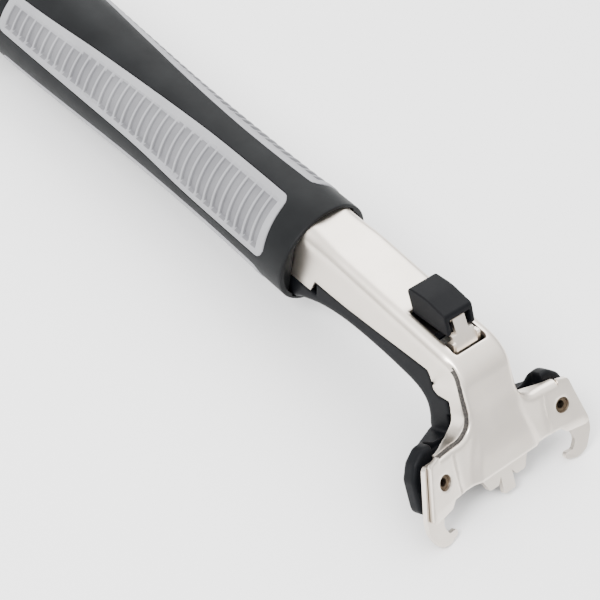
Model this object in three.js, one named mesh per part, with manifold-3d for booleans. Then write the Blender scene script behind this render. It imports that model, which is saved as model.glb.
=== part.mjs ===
// Hand tool with a ribbed grip, a stamped steel neck and a hook head.
// A thumb slide on the neck carries a sprung latch plate down between the two hooks.
//
// Tool axes, in millimetres: origin at the centre of the grip's front rim, +Y along the grip
// towards its butt, so the head is at -Y, and +Z towards the thumb slide.
// Head axes: x across the head, s down its face, n from the face's outer surface inwards.

import * as THREE from "three";
import { mergeVertices } from "three/addons/utils/BufferGeometryUtils.js";
import Module from "manifold-3d";

const wasm = await Module();
wasm.setup();

// ---- Driving dimensions -------------------------------------------------------------------

const GAP = 0.3; // between pieces that touch
const SHEET = 1.5; // neck and face sheet
const PLATE = 1.6; // hook plate and latch plate

const GRIP_END = 148; // where the end cap starts
const BUTT_END = 170; // back of the end cap
const HANG_HOLE = [160, 0]; // y and z of the hole across the butt
const HANG_RADIUS = 4;
const COLLAR_RADIUS = 17.5;
const TAIL_RADIUS = 16.3; // the neck and its cover keep inside this where the grip holds them

const NECK_HALF_WIDTH = 10.6;
const RIDGE_RADIUS = 4;
const NECK_TOP = 15; // height of the neck's top at the grip's rim
const NECK_SLOPE = 0.052; // fall of the top towards the head
const TAIL_DEPTH = 6; // how far the neck goes into the grip
const FACE_ANGLE = THREE.MathUtils.degToRad(59.15);
const FACE_BEND = 14; // outer radius where the top turns down into the face
const HEAD_ORIGIN = new THREE.Vector3(0, -81.04, -13.4); // face surface, level with the rivets

const FACE_BOTTOM = 7; // s of the face's lower edge
const WING_TOP = -8.3;
const CREASE_X = 19;
const WING_SWEEP = THREE.MathUtils.degToRad(8); // how far the wings are bent forward
const RIVET_X = 25;
const RIVET_RADIUS = 2.5;
const RIVET_BORE = 1.3;

const HOOK_PLATE_N = SHEET + GAP;
const FOOT_N = HOOK_PLATE_N + PLATE + GAP;
const FOOT_BACK = 8.8;
const FOOT_HALF_WIDTH = 32.8;
const FLANGE_DEPTH = 7.4;
const LATCH_N = HOOK_PLATE_N + 0.1;
const LATCH_HALF_WIDTH = 10.2;

const COVER_WALL = 1.8;
const COVER_SCREWS = [
  { y: -38, seat: -4.6, tip: -2.2 },
  { y: -14, seat: -6.2, tip: 1 },
]; // y, and the heights of the seat under the head and of the tip
const SCREW_RADIUS = 1.3;
const SCREW_HEAD_RADIUS = 2.5;
const SCREW_HEAD = 1.2;

const TRAVEL = 2; // how far the slide goes down, along the face
const PIN = [-57, 3]; // y and z of the slide's guide pin
const PIN_RADIUS = 1.5;
const CARRIER_HALF_WIDTH = 4.3;
const CARRIER_SHEET = 1.2;
const EAR_HALF_WIDTH = 5.5;
const CAP_HALF_WIDTH = 5.6;

const TANG_HALF_WIDTH = 6;
const TANG_HALF_HEIGHT = 4;
const TANG_END = 102;
const TANG_PIN = [60, 0]; // y and z of the pin across tang and grip
const TANG_PIN_RADIUS = 2;
const TANG_PIN_HALF = 14;
const SPIGOT_RADIUS = 2.1; // of the end cap, in a hole in the grip
const SPIGOT_LENGTH = 14;
const INSERT_DEPTH = 1.8;
const INSERT_PROUD = 0.4;

const SLOT_FRONT = -61.4;
const SLOT_REAR = -42;
const SLOT_HALF_WIDTH = 8.3;
const LINER_HALF_WIDTH = SLOT_HALF_WIDTH - 0.4;
const LINER_WALL = 1.8;
const LINER_FRONT = -58.2;
const LINER_BOTTOM = 6.8;
const LINER_DROP = 0.9; // of its upper edge below the neck's top

const TILT = THREE.MathUtils.degToRad(2.932); // lays the tool on its hooks and the grip's swell

// ---- Solids -------------------------------------------------------------------------------

function solid(geometry) {
  const bare = new THREE.BufferGeometry();
  bare.setAttribute("position", geometry.getAttribute("position"));
  if (geometry.index) bare.setIndex(geometry.index);
  const merged = mergeVertices(bare, 1e-4);
  return new wasm.Manifold(
    new wasm.Mesh({
      numProp: 3,
      vertProperties: merged.getAttribute("position").array,
      triVerts: new Uint32Array(merged.index.array),
    }),
  );
}

function geometryOf(body) {
  const mesh = body.getMesh();
  const geometry = new THREE.BufferGeometry();
  geometry.setAttribute("position", new THREE.BufferAttribute(mesh.vertProperties, 3));
  geometry.setIndex(new THREE.BufferAttribute(mesh.triVerts, 1));
  return geometry;
}

const join = (...bodies) => bodies.reduce((whole, body) => whole.add(body));

// Axes as columns: where a shape's x, y and extrusion direction point.
const axes = (x, y, z, at = new THREE.Vector3()) =>
  new THREE.Matrix4().makeBasis(x, y, z).setPosition(at);

const X = new THREE.Vector3(1, 0, 0);
const Y = new THREE.Vector3(0, 1, 0);
const Z = new THREE.Vector3(0, 0, 1);
const DOWN_FACE = new THREE.Vector3(0, -Math.cos(FACE_ANGLE), -Math.sin(FACE_ANGLE));
const INTO_FACE = new THREE.Vector3(0, Math.sin(FACE_ANGLE), -Math.cos(FACE_ANGLE));
const HEAD = axes(X, DOWN_FACE, INTO_FACE, HEAD_ORIGIN);
const SIDE_VIEW = axes(Y, Z, X);

// The y and z of a point on the head's middle plane.
function headPoint(s, n) {
  const point = new THREE.Vector3(0, s, n).applyMatrix4(HEAD);
  return [point.y, point.z];
}

// A closed outline from corners [x, y, radius]; a corner with a radius becomes an arc.
function outline(corners, arcSteps = 6) {
  const points = [];
  corners.forEach(([x, y, radius = 0], i) => {
    const corner = new THREE.Vector2(x, y);
    if (!radius) {
      points.push(corner);
      return;
    }
    const [px, py] = corners[(i + corners.length - 1) % corners.length];
    const [qx, qy] = corners[(i + 1) % corners.length];
    const back = new THREE.Vector2(px, py).sub(corner).normalize();
    const ahead = new THREE.Vector2(qx, qy).sub(corner).normalize();
    const half = Math.acos(THREE.MathUtils.clamp(back.dot(ahead), -1, 1)) / 2;
    const reach = radius / Math.tan(half);
    const middle = back.clone().add(ahead).normalize();
    const centre = corner.clone().addScaledVector(middle, radius / Math.sin(half));
    const from = corner.clone().addScaledVector(back, reach).sub(centre);
    const to = corner.clone().addScaledVector(ahead, reach).sub(centre);
    let turn = to.angle() - from.angle();
    if (turn > Math.PI) turn -= 2 * Math.PI;
    if (turn < -Math.PI) turn += 2 * Math.PI;
    for (let k = 0; k <= arcSteps; k++) {
      const arm = from.clone().rotateAround(new THREE.Vector2(), (turn * k) / arcSteps);
      points.push(centre.clone().add(arm));
    }
  });
  return points;
}

// An outline's points moved to its left by a distance, for clearances.
function offsetLine(points, distance) {
  return points.map(([x, y], i) => {
    const before = points[Math.max(i - 1, 0)];
    const after = points[Math.min(i + 1, points.length - 1)];
    const arriving = new THREE.Vector2(x - before[0], y - before[1]).normalize();
    const leaving = new THREE.Vector2(after[0] - x, after[1] - y).normalize();
    const along = arriving.clone().add(leaving).normalize();
    const mitre = distance / Math.max(along.dot(arriving), along.dot(leaving), 0.4);
    return [x - along.y * mitre, y + along.x * mitre];
  });
}

// A flat shape extruded from depth `from` to depth `to`, laid out by `frame`.
function slab(points, from, to, frame) {
  const geometry = new THREE.ExtrudeGeometry(new THREE.Shape(points), {
    depth: to - from,
    bevelEnabled: false,
  });
  geometry.translate(0, 0, from);
  return solid(geometry.applyMatrix4(frame));
}

// A side outline of [y, z, radius] corners, as thick as from x = from to x = to.
const sideSlab = (corners, from, to, steps) => slab(outline(corners, steps), from, to, SIDE_VIEW);

// The same with its edges rounded to a radius.
function roundedSlab(points, from, to, radius, frame = SIDE_VIEW, segments = 5) {
  const geometry = new THREE.ExtrudeGeometry(new THREE.Shape(points), {
    depth: to - from - 2 * radius,
    bevelThickness: radius,
    bevelSize: radius,
    bevelOffset: -radius,
    bevelSegments: segments,
  });
  geometry.translate(0, 0, from + radius);
  return solid(geometry.applyMatrix4(frame));
}

// A head outline of [x, s, radius] corners, from depth n = from to n = to.
const headSlab = (corners, from, to, frame = HEAD) => slab(outline(corners), from, to, frame);

// A left-hand list of [x, s, radius] corners followed by its mirror image.
const mirrored = (corners) => [
  ...corners,
  ...corners.map(([x, s, radius]) => [-x, s, radius]).reverse(),
];

// A solid of revolution about a line through `at`, along `direction`, from [radius, along] points.
function turned(profile, at, direction, segments = 32) {
  const geometry = new THREE.LatheGeometry(
    profile.map(([radius, along]) => new THREE.Vector2(radius, along)),
    segments,
  );
  const turn = new THREE.Quaternion().setFromUnitVectors(Y, direction);
  geometry.applyMatrix4(new THREE.Matrix4().makeRotationFromQuaternion(turn).setPosition(at));
  return solid(geometry);
}

// A round bar through `at`, along `direction`, from one distance to another.
const bar = (radius, from, to, at, direction, segments = 24) =>
  turned([[0, from], [radius, from], [radius, to], [0, to]], at, direction, segments);

const crossBar = (radius, halfLength, [y, z]) =>
  bar(radius, -halfLength, halfLength, new THREE.Vector3(0, y, z), X);

// ---- Materials ----------------------------------------------------------------------------

const material = (color, roughness, metalness) =>
  new THREE.MeshStandardMaterial({ color, roughness, metalness });
const nickel = material(0xc8bfb5, 0.3, 1);
const steel = material(0xa8a6a2, 0.4, 1);
const blackPlastic = material(0x2a2b2d, 0.55, 0);
const gripBlack = material(0x3a3b3d, 0.6, 0);
const softGrey = material(0xb4b4b6, 0.75, 0);
const bronze = material(0x7a5f40, 0.45, 0.9);

const tool = new THREE.Group();
tool.rotation.x = -TILT;

function piece(name, body, look) {
  const mesh = new THREE.Mesh(geometryOf(body), look);
  mesh.name = name;
  tool.add(mesh);
}

// ---- Neck shell: top, side walls, face, wings and slot --------------------------------------

const neckTopAt = (y) => NECK_TOP + NECK_SLOPE * y;

// Where the line of the neck's top, lowered by `inset`, meets the face plane moved in by `inset`.
function bendCorner(inset) {
  const [faceY, faceZ] = headPoint(0, inset);
  const rise = Math.tan(FACE_ANGLE);
  const y = (neckTopAt(0) - inset - faceZ + rise * faceY) / (rise - NECK_SLOPE);
  return [y, neckTopAt(y) - inset];
}

// The neck and face as a solid block with rounded long edges, `inset` inside the outer surface.
function neckBlock(inset, floor, back, bottom) {
  const corners = [
    [back, neckTopAt(back) - inset],
    [...bendCorner(inset), FACE_BEND - inset],
    headPoint(bottom, inset),
    headPoint(bottom, 40),
    [back, floor],
  ];
  const half = NECK_HALF_WIDTH - inset;
  return roundedSlab(outline(corners, 8), -half, half, RIDGE_RADIUS - inset);
}

// The lower edge of the neck's side walls, from the grip to the head, with the barb near the
// grip and the step round the cover's boss.
const wallEdge = [
  [12, -5.2],
  [-9, -4.6],
  [-8.1, -0.1],
  [-56.2, 3],
  [-58, 1.2],
  [-60, -2.2],
  [-62.3, -3],
  headPoint(-17.8, 7),
  headPoint(-12.5, 7.2),
];
const below = [[12, -60]];

// Face with its two wings, as one flat outline: half of it, from the neck down to the middle.
const faceHalf = [
  [-NECK_HALF_WIDTH, -20],
  [-NECK_HALF_WIDTH, WING_TOP, 6],
  [-CREASE_X - 1, WING_TOP],
  [-CREASE_X - 1, FACE_BOTTOM],
];
const wingHalf = [
  [-CREASE_X + 1, WING_TOP],
  [-25.5, WING_TOP, 1],
  [-29, -7.4, 1.5],
  [-33.5, 8.8, 0.8],
  [-31.8, 9.6],
  [-28.2, 9.3],
  [-24.6, 8.9],
  [-22.6, FACE_BOTTOM, 0.8],
  [-CREASE_X + 1, FACE_BOTTOM],
];

// Frame of a wing: the head's frame turned about the crease, so that its outer end is forward.
function wingFrame(side) {
  const turn = new THREE.Matrix4().makeRotationY(side * WING_SWEEP);
  const crease = new THREE.Matrix4().makeTranslation(side * CREASE_X, 0, 0);
  return HEAD.clone().multiply(crease).multiply(turn).multiply(crease.clone().invert());
}

const flip = (corners, side) => corners.map(([x, s, radius]) => [-side * x, s, radius]);

function rivetAxis(side) {
  const at = new THREE.Vector3(side * RIVET_X, 0, 0).applyMatrix4(wingFrame(side));
  const direction = new THREE.Vector3(0, 0, 1).transformDirection(wingFrame(side));
  return [at, direction];
}

// The flange behind the face: it follows the wing's top edge and grows shallower outwards.
function flange(side) {
  const band = [
    [-NECK_HALF_WIDTH, -15],
    [-NECK_HALF_WIDTH, WING_TOP, 6],
    [-25, WING_TOP],
    [-25, WING_TOP + SHEET],
    [-NECK_HALF_WIDTH + SHEET, WING_TOP + SHEET, 6 + SHEET],
    [-NECK_HALF_WIDTH + SHEET, -15],
  ];
  const body = headSlab(flip(band, side), SHEET / 2, FLANGE_DEPTH);
  const above = slab(
    [
      new THREE.Vector2(-40, SHEET / 2 + 1.2),
      new THREE.Vector2(-24, 3),
      new THREE.Vector2(-11, FLANGE_DEPTH),
      new THREE.Vector2(-9, 12),
      new THREE.Vector2(-40, 12),
    ].map((p) => new THREE.Vector2(-side * p.x, p.y)),
    -20,
    20,
    axes(X, INTO_FACE, DOWN_FACE.clone().negate(), HEAD_ORIGIN),
  );
  return body.subtract(above);
}

function neckShell() {
  let body = neckBlock(0, -40, TAIL_DEPTH, FACE_BOTTOM);
  body = body.subtract(neckBlock(SHEET, -60, TAIL_DEPTH + 20, FACE_BOTTOM + 20));
  body = body.subtract(sideSlab([...wallEdge, headPoint(-12.5, SHEET + 0.01),
    headPoint(30, SHEET + 0.01), headPoint(30, 60), ...below], -40, 40));
  body = join(
    body,
    headSlab(mirrored(faceHalf), 0, SHEET),
    ...[-1, 1].flatMap((side) => [
      headSlab(flip(wingHalf, side), 0, SHEET, wingFrame(side)),
      flange(side),
    ]),
  );
  const slot = mirrored([
    [-SLOT_HALF_WIDTH, SLOT_REAR, 0.8],
    [-SLOT_HALF_WIDTH, SLOT_FRONT + 3.6, 1],
    [-6.2, SLOT_FRONT, 0.8],
  ]);
  body = body.subtract(slab(outline(slot), 5, 30, axes(X, Y, Z)));
  for (const side of [-1, 1]) {
    body = body.subtract(bar(RIVET_RADIUS + GAP, -4, 4, ...rivetAxis(side)));
  }
  return body.intersect(gripEntry(0));
}

// All the room a piece of the neck may take: anything ahead of the grip, and a round bore in it.
const gripEntry = (gap) =>
  join(
    bar(TAIL_RADIUS + gap, -3, TAIL_DEPTH + gap, new THREE.Vector3(), Y, 48),
    slab(outline([[-50, -120], [50, -120], [50, -0.5], [-50, -0.5]]), -60, 60, axes(X, Y, Z)),
  );

// ---- Under-cover: trough below the neck, finger arc and crossbar foot ------------------------

const TROUGH_END = -4; // s where the trough runs into the gussets
const fingerArc = new THREE.SplineCurve([
  headPoint(-8, 19.4),
  [-59.4, -13.2],
  [-57.2, -9.4],
  [-52.8, -7.1],
  [-46, -6.2],
  [-38, -5.7],
  [-29, -5.6],
  [-20, -6.2],
  [-11, -8.2],
  [-3, -11.6],
].map(([y, z]) => new THREE.Vector2(y, z)));

const coverBottom = [
  headPoint(TROUGH_END, 19.4),
  ...fingerArc.getPoints(30).map((point) => [point.x, point.y]),
  [-0.6, -13.4],
  [TAIL_DEPTH - 0.5, -13.4],
];

// The foot seen on the face: it rises to a hump on each side of the neck.
const footCorners = [
  [-10.3, -8],
  [-19, -8.4, 4],
  [-22, -10.4, 4],
  [-26.5, -10.6, 4],
  [-30.5, -7.6, 4],
  [-FOOT_HALF_WIDTH, -3, 4],
  [-FOOT_HALF_WIDTH, FACE_BOTTOM + 1.8, 2.5],
];
const gussetCorners = [
  [-10.3, -6.3],
  [-28.5, -6.3],
  [-FOOT_HALF_WIDTH, -2],
  [-FOOT_HALF_WIDTH, 5],
];
const gussetBack = [
  [-FOOT_HALF_WIDTH, FOOT_N],
  [-FOOT_HALF_WIDTH, FOOT_BACK - 0.4, 1],
  [-29.5, 9.6, 6],
  [-20, 14.9, 20],
  [-NECK_HALF_WIDTH, 19.2, 2],
  [-8, 19.4],
];

function underCover() {
  const topLine = offsetLine(wallEdge, GAP).filter(([y]) => y < TAIL_DEPTH);
  const start = [TAIL_DEPTH - 0.5, -5.2 - GAP];
  const upTo = [[TAIL_DEPTH - 0.5, 30], [-60, 30], headPoint(TROUGH_END, 0)];
  const wholeDepth = outline([...coverBottom, ...upTo]);
  const outside = roundedSlab(wholeDepth, -NECK_HALF_WIDTH, NECK_HALF_WIDTH, 2.5);
  const trough = outside.intersect(
    sideSlab(
      [...coverBottom, start, ...topLine, headPoint(-12.5, 9), headPoint(TROUGH_END, 9)],
      -NECK_HALF_WIDTH,
      NECK_HALF_WIDTH,
    ),
  );
  const foot = roundedSlab(outline(mirrored(footCorners)), FOOT_N, FOOT_BACK, 1, HEAD, 3);
  // The gussets behind the foot, seen along the face, take the trough's depth out to its ends.
  const alongFace = axes(X, INTO_FACE, DOWN_FACE.clone().negate(), HEAD_ORIGIN);
  const behind = slab(outline(mirrored(gussetBack)), -20, 20, alongFace);
  const web = headSlab(mirrored(gussetCorners), FOOT_N + 1, 20).intersect(behind);
  let body = join(trough, web, foot);
  const hollow = sideSlab(
    [
      [TAIL_DEPTH + 1, 20],
      [TAIL_DEPTH + 1, -11],
      [-3, -9],
      [-11, -6.2],
      [-20, -4.1],
      [-52, -4.1],
      [-56.5, -7],
      headPoint(-12.5, 16),
      headPoint(-2, 16),
      headPoint(-2, -10),
      [-70, 20],
    ],
    -NECK_HALF_WIDTH + COVER_WALL,
    NECK_HALF_WIDTH - COVER_WALL,
  );
  body = body.subtract(hollow);
  // Room for the deep part of the flanges that run along the top of the wings.
  for (const side of [-1, 1]) {
    const corner = flip([
      [-8, -30],
      [-8, WING_TOP + SHEET + GAP],
      [-23.2, WING_TOP + SHEET + GAP],
      [-23.2, -30],
    ], side);
    body = body.subtract(headSlab(corner, 0, FLANGE_DEPTH + GAP));
    body = body.subtract(bar(RIVET_RADIUS + GAP, -5, 20, ...rivetAxis(side)));
    body = body.subtract(bar(RIVET_RADIUS + 1.5, FOOT_BACK + 0.2, 20, ...rivetAxis(side)));
  }
  // Recess for the strap that joins the hook plate's two halves behind the latch.
  const strapBack = LATCH_N + 2 * PLATE + 2 * GAP;
  body = body.subtract(headSlab(mirrored([[-15.3, 0.2], [-15.3, 5.5]]), 0, strapBack));
  for (const { y, seat } of COVER_SCREWS) {
    const at = new THREE.Vector3(0, y, seat);
    body = body.subtract(bar(SCREW_RADIUS + GAP, -1, 4, at, Z));
    body = body.subtract(bar(SCREW_HEAD_RADIUS + GAP, -10, 0, at, Z));
  }
  return body.intersect(gripEntry(0));
}

// ---- Hook plate, latch plate and rivets ---------------------------------------------------

// One hook, from the wing's middle down round to its tip.
const hookCorners = [
  [-CREASE_X + 1, WING_TOP + 2.2],
  [-30, WING_TOP + 1.3, 1.5],
  [-34.4, 8.4, 3],
  [-34.5, 12.5, 6],
  [-31.4, 18.6, 4],
  [-27.5, 19.6, 4],
  [-23, 18.2, 1],
  [-23.6, 16.4, 0.6],
  [-26.6, 16.4, 1.2],
  [-28.3, 13.2, 3],
  [-27, 10.2, 1.5],
  [-24.4, 8.4],
  [-22.4, 5.4],
  [-CREASE_X + 1, 5.4],
];

function hookPlate() {
  const bridge = [
    [-CREASE_X - 1, WING_TOP + 2.2],
    [-CREASE_X - 1, 5.4],
    [-LATCH_HALF_WIDTH - GAP, 5.4],
    [-LATCH_HALF_WIDTH - GAP, WING_TOP + 2.2],
  ];
  const sides = [-1, 1].flatMap((side) => [
    headSlab(flip(bridge, side), LATCH_N, LATCH_N + PLATE),
    headSlab(flip(hookCorners, side), HOOK_PLATE_N, HOOK_PLATE_N + PLATE, wingFrame(side))
      .subtract(bar(RIVET_RADIUS + GAP, 0, 6, ...rivetAxis(side))),
  ]);
  // A strap behind the latch plate joins the two sides.
  const strap = headSlab(
    mirrored([[-15, 0.5], [-15, 5.2]]),
    LATCH_N + PLATE + GAP,
    LATCH_N + 2 * PLATE + GAP,
  );
  const legs = [-1, 1].map((side) =>
    headSlab(flip([[-15, 0.5], [-15, 5.2], [-11.6, 5.2], [-11.6, 0.5]], side),
      LATCH_N, LATCH_N + 2 * PLATE + GAP));
  return join(...sides, strap, ...legs);
}

function latchPlate() {
  const half = [
    [-6.5, -22.6],
    [-6.5, -6],
    [-LATCH_HALF_WIDTH, -4.4],
    [-LATCH_HALF_WIDTH, 7.6, 1],
    [-8.8, 10.2, 1],
    [-7.6, 12.9, 1.2],
    [-3.8, 12.9, 0.6],
    [-2.4, 10.8],
    [-2.4, 16.6, 0.5],
  ];
  const window = mirrored([[-3.4, -21.7], [-3.4, -19.3]]);
  return headSlab(mirrored(half), LATCH_N, LATCH_N + PLATE)
    .subtract(headSlab(window, LATCH_N - 1, LATCH_N + PLATE + 1));
}

function rivet(side) {
  const front = 1;
  const headFrom = FOOT_BACK + 0.5;
  const headTo = FOOT_BACK + 1;
  const headRadius = RIVET_RADIUS + 1.2;
  const profile = [
    [RIVET_BORE, front],
    [RIVET_RADIUS, front],
    [RIVET_RADIUS, headFrom],
    [headRadius, headFrom],
    [headRadius, headTo],
    [RIVET_BORE, headTo],
    [RIVET_BORE, front],
  ];
  return turned(profile, ...rivetAxis(side), 24);
}

// ---- Slide: carrier, cap, guide pin, bracket and spring ---------------------------------------

// The carrier in side view, as a strip of CARRIER_SHEET about this centre line.
const carrierLine = [
  headPoint(-20.5, 2.9),
  [-60.7, -1.6],
  [-59.9, 10],
  [-54.4, 17.4],
  [-43.4, 16.2],
];

function strip(line, thickness, halfWidth) {
  const left = offsetLine(line, thickness / 2);
  const right = offsetLine(line, -thickness / 2).reverse();
  return sideSlab([...left, ...right], -halfWidth, halfWidth);
}

function slideCarrier() {
  const finger = strip(carrierLine.slice(0, 2), CARRIER_SHEET, 2.9);
  const web = strip(carrierLine.slice(1, 4), CARRIER_SHEET, CARRIER_HALF_WIDTH);
  const tongue = strip(carrierLine.slice(3), CARRIER_SHEET, 2.6);
  const shoulders = [[-62, 14], [-50, 14], [-50, 22], [-62, 22]];
  const narrowed = web
    .subtract(sideSlab(shoulders, -8, -2.4))
    .subtract(sideSlab(shoulders, 2.4, 8));
  const ear = [
    [-61.3, -1.2, 0.8],
    [PIN[0] + 1, PIN[1] - 3.4, 2.5],
    [PIN[0] + 3.2, PIN[1] + 2, 2.5],
    [-57.4, 12.6, 0.8],
    [-59.6, 13.2, 0.6],
    [-60.3, 10.6],
  ];
  const inner = CARRIER_HALF_WIDTH - 0.01;
  return join(
    finger,
    narrowed,
    tongue,
    sideSlab(ear, -EAR_HALF_WIDTH, -inner),
    sideSlab(ear, inner, EAR_HALF_WIDTH),
  ).subtract(crossBar(PIN_RADIUS + 0.1, 8, PIN));
}

// Cap pushed over the carrier's tongue: a rounded block, open at the front and below.
function thumbCap() {
  const side = [
    [-57.4, 14.2, 0.6],
    [-54.4, 20.1, 1.2],
    [-46, 21, 14],
    [-38.3, 19.9, 1.3],
    [-42.9, 12.5, 0.6],
  ];
  const pocket = [
    [-60, 12],
    [-56.4, 18.5],
    [-41.9, 17.3],
    [-45, 12],
  ];
  return sideSlab(side, -CAP_HALF_WIDTH, CAP_HALF_WIDTH).subtract(sideSlab(pocket, -4.2, 4.2));
}

const guidePin = () => crossBar(PIN_RADIUS, 8, PIN);

// Compression spring between the carrier and the cover, along the face, at its pressed length.
function returnSpring() {
  const from = -17.6;
  const turns = 5;
  const pitch = 2.9;
  const radius = 2.4;
  const wireRadius = 0.4;
  const points = Array.from({ length: turns * 10 + 1 }, (_, k) => {
    const angle = (k / 10) * 2 * Math.PI;
    const spot = new THREE.Vector3(
      radius * Math.cos(angle),
      from + (pitch * k) / 10,
      11 + radius * Math.sin(angle),
    );
    return spot.applyMatrix4(HEAD);
  });
  const wire = new THREE.EllipseCurve(0, 0, wireRadius, wireRadius).getPoints(6).slice(0, 6);
  const path = new THREE.CatmullRomCurve3(points, false, "centripetal");
  return solid(new THREE.ExtrudeGeometry(new THREE.Shape(wire), { steps: 100, extrudePath: path }));
}

// Black lining of the slot, a wall down each side with a bridge between them.
function slotLiner() {
  const side = [
    [LINER_FRONT, LINER_BOTTOM],
    [SLOT_REAR - 0.4, LINER_BOTTOM],
    [SLOT_REAR - 0.4, neckTopAt(SLOT_REAR) - LINER_DROP],
    [LINER_FRONT, neckTopAt(LINER_FRONT) - LINER_DROP],
  ];
  const inner = LINER_HALF_WIDTH - LINER_WALL;
  const bridge = sideSlab([[-52, LINER_BOTTOM], [-50, LINER_BOTTOM], [-50, LINER_BOTTOM + 1],
    [-52, LINER_BOTTOM + 1]], -inner - 0.5, inner + 0.5);
  return join(
    sideSlab(side, -LINER_HALF_WIDTH, -inner),
    sideSlab(side, inner, LINER_HALF_WIDTH),
    bridge,
  );
}

// Bracket on the cover's floor; the guide pin runs in a slanting slot in each of its cheeks.
function guideBracket() {
  const half = 7.6;
  const floor = -3.8;
  const sheet = 1.2;
  const base = sideSlab([[-55, floor], [-24, floor], [-24, floor + 1], [-55, floor + 1]], -half, half);
  const cheek = [
    [-54.4, floor],
    [-44, floor],
    [-46, -1],
    [PIN[0] + 3.4, PIN[1] + 3.2, 1.5],
    [PIN[0] - 3.2, PIN[1] + 3.2, 2],
    [PIN[0] - 4, PIN[1] - 4.4, 2],
    [-56, floor],
  ];
  const cheeks = [sideSlab(cheek, -half, sheet - half), sideSlab(cheek, half - sheet, half)];
  const room = PIN_RADIUS + GAP;
  const round = room - 0.01;
  const slot = [
    [-room, -room, round],
    [room, -room, round],
    [room, room + TRAVEL, round],
    [-room, room + TRAVEL, round],
  ];
  const along = axes(INTO_FACE, DOWN_FACE, X.clone().negate(), new THREE.Vector3(0, ...PIN));
  return join(base, ...cheeks)
    .subtract(slab(outline(slot), -9, 9, along))
    .subtract(screwHole(COVER_SCREWS[0], 2));
}

// ---- Tang and screws ------------------------------------------------------------------------

function tang() {
  const neckEnd = sideSlab([[-20, -2.6], [TAIL_DEPTH, -2.6], [TAIL_DEPTH, 8], [-20, 8]], -8.6, 8.6);
  const height = TANG_HALF_HEIGHT;
  const shank = sideSlab([[4, -height], [TANG_END, -height, 1], [TANG_END, height, 1], [4, height]],
    -TANG_HALF_WIDTH, TANG_HALF_WIDTH);
  return join(neckEnd, shank)
    .subtract(crossBar(TANG_PIN_RADIUS + GAP, 9, TANG_PIN))
    .subtract(screwHole(COVER_SCREWS[1], 1.5));
}

// The hole a screw goes up into, ending `past` its tip.
const screwHole = ({ y, tip }, past) =>
  bar(SCREW_RADIUS + GAP, -10, tip + past, new THREE.Vector3(0, y, 0), Z);

function coverScrew({ y, seat, tip }) {
  const top = seat - GAP;
  const head = top - SCREW_HEAD;
  const profile = [
    [0, head],
    [SCREW_HEAD_RADIUS, head],
    [SCREW_HEAD_RADIUS, top],
    [SCREW_RADIUS, top],
    [SCREW_RADIUS, tip],
    [0, tip],
  ];
  const driver = [
    [y - 3, head - 1],
    [y + 3, head - 1],
    [y + 3, head + SCREW_HEAD / 2],
    [y - 3, head + SCREW_HEAD / 2],
  ];
  return turned(profile, new THREE.Vector3(0, y, 0), Z, 20).subtract(sideSlab(driver, -0.4, 0.4));
}

// ---- Grip body, inserts and end cap ------------------------------------------------------------

// Radius of the grip along its length.
const gripRadius = new THREE.SplineCurve([
  [0.6, 17.5], [12, 17.35], [30, 16.95], [50, 16.8], [75, 17], [100, 17.75], [125, 18.6], [148, 18.9],
].map(([y, radius]) => new THREE.Vector2(y, radius)));

const gripProfile = (inset, from, to, steps) =>
  Array.from({ length: steps + 1 }, (_, k) => {
    const point = gripRadius.getPoint(from + ((to - from) * k) / steps);
    return [point.y - inset, point.x];
  });

// Insert outlines in the plane that faces the insert, clockwise: [along the grip, downwards].
const upperInsert = [
  [11.4, -10.7, 3],
  [9.1, 10.6, 3],
  [60, 9.6],
  [100, 8.6],
  [142, 8.4, 5],
  [142, -5.2, 5],
  [100, -8],
  [60, -10],
];
const lowerInsert = [
  [11, -7.6, 4],
  [11, 7.4, 4],
  [60, 7.4],
  [142, 7, 4],
  [142, -7, 4],
  [60, -7.4],
];
const inserts = [
  { name: "insert_upper_left", corners: upperInsert, angle: 55, side: -1 },
  { name: "insert_upper_right", corners: upperInsert, angle: 55, side: 1 },
  { name: "insert_lower_left", corners: lowerInsert, angle: 137, side: -1 },
  { name: "insert_lower_right", corners: lowerInsert, angle: 137, side: 1 },
];

// A prism through the grip's wall, looking along the insert's own direction.
function insertPrism({ corners, angle, side }, grow) {
  const turn = THREE.MathUtils.degToRad(angle);
  const outward = new THREE.Vector3(-Math.sin(turn), 0, Math.cos(turn));
  const downward = new THREE.Vector3(-Math.cos(turn), 0, -Math.sin(turn));
  const points = outline(corners, 5);
  const grown = points.map((point, i) => {
    const before = points[(i + points.length - 1) % points.length];
    const after = points[(i + 1) % points.length];
    const along = after.clone().sub(before).normalize();
    return new THREE.Vector2(point.x - along.y * grow, point.y + along.x * grow);
  });
  const left = slab(grown, 8, 28, axes(Y, downward, outward));
  return side < 0 ? left : left.mirror([1, 0, 0]);
}

const gripCore = (inset, from = 0, to = 1) =>
  turned([[0, gripProfile(inset, from, to, 1)[0][1]], ...gripProfile(inset, from, to, 12),
    [0, gripProfile(inset, from, to, 1)[1][1]]], new THREE.Vector3(), Y, 52);

function insert(spec) {
  return gripCore(-INSERT_PROUD).subtract(gripCore(INSERT_DEPTH)).intersect(insertPrism(spec, 0));
}

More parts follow.
